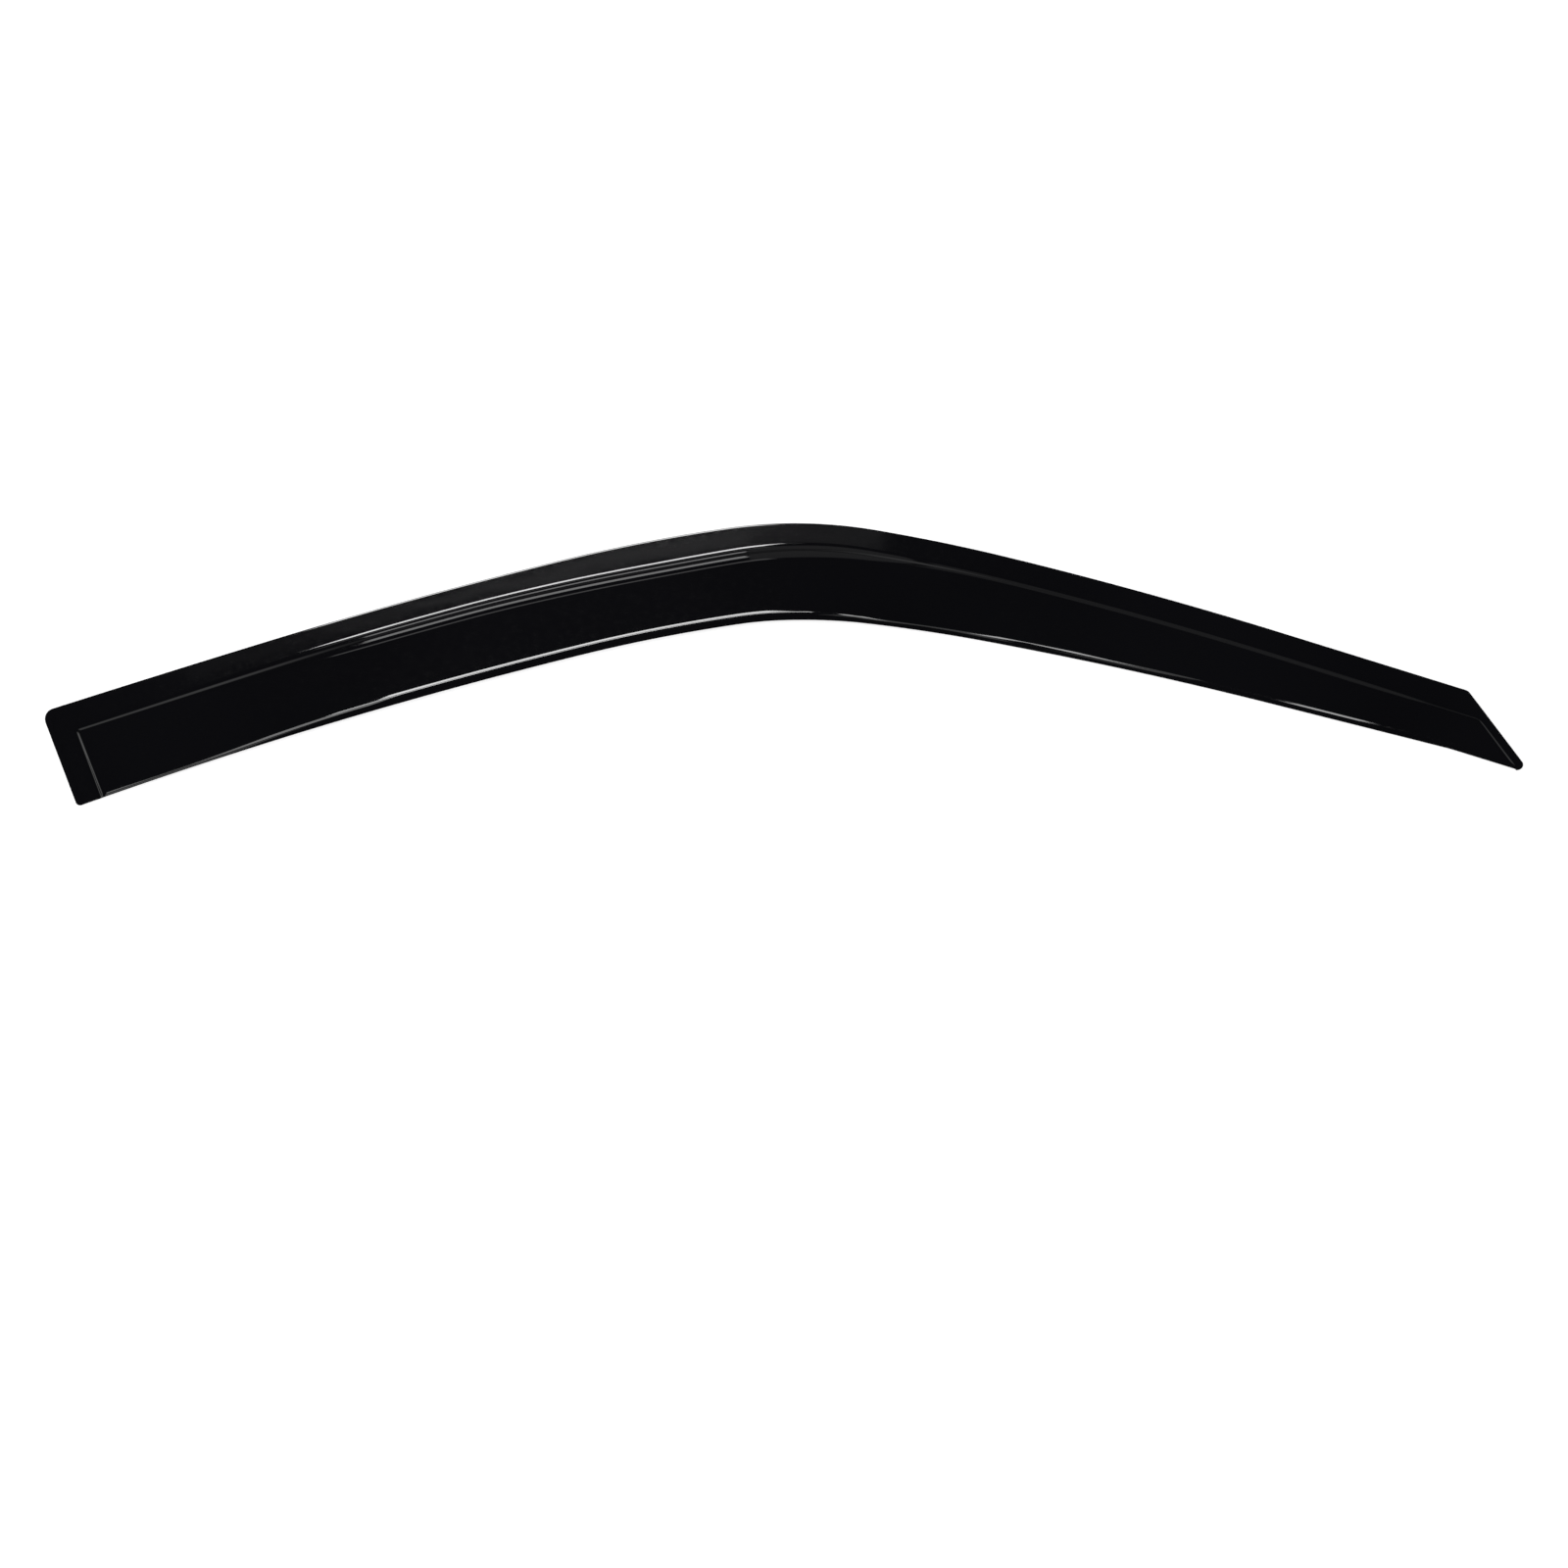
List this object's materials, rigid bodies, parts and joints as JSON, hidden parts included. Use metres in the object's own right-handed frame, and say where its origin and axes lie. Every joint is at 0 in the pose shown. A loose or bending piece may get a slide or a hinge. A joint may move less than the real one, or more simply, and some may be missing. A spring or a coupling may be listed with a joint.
{
  "type": "window rain deflector",
  "caption": "Long dark acrylic rain deflector for a car's front door window, with a taped top flange, a raised blade, a turned lower lip and a pointed front end.",
  "frame": {"origin": "middle of the footprint, on the plane that the tapes rest on", "axes": "+X from the rear end to the pointed front end, +Y up on the door, +Z away from the door, square to the mounting plane"},
  "size_m": [0.961, 0.1834, 0.0139],
  "materials": {
    "acrylic": "polished dark acrylic, opaque to the eye",
    "foam_tape": "closed-cell foam with tacky faces",
    "liner_film": "thin satin film"
  },
  "bodies": {
    "root": {"visor_shield": "acrylic", "roof_tape": "foam_tape", "rear_tab_tape": "foam_tape", "roof_tape_liner": "liner_film", "rear_tab_tape_liner": "liner_film"}
  },
  "joints": []
}
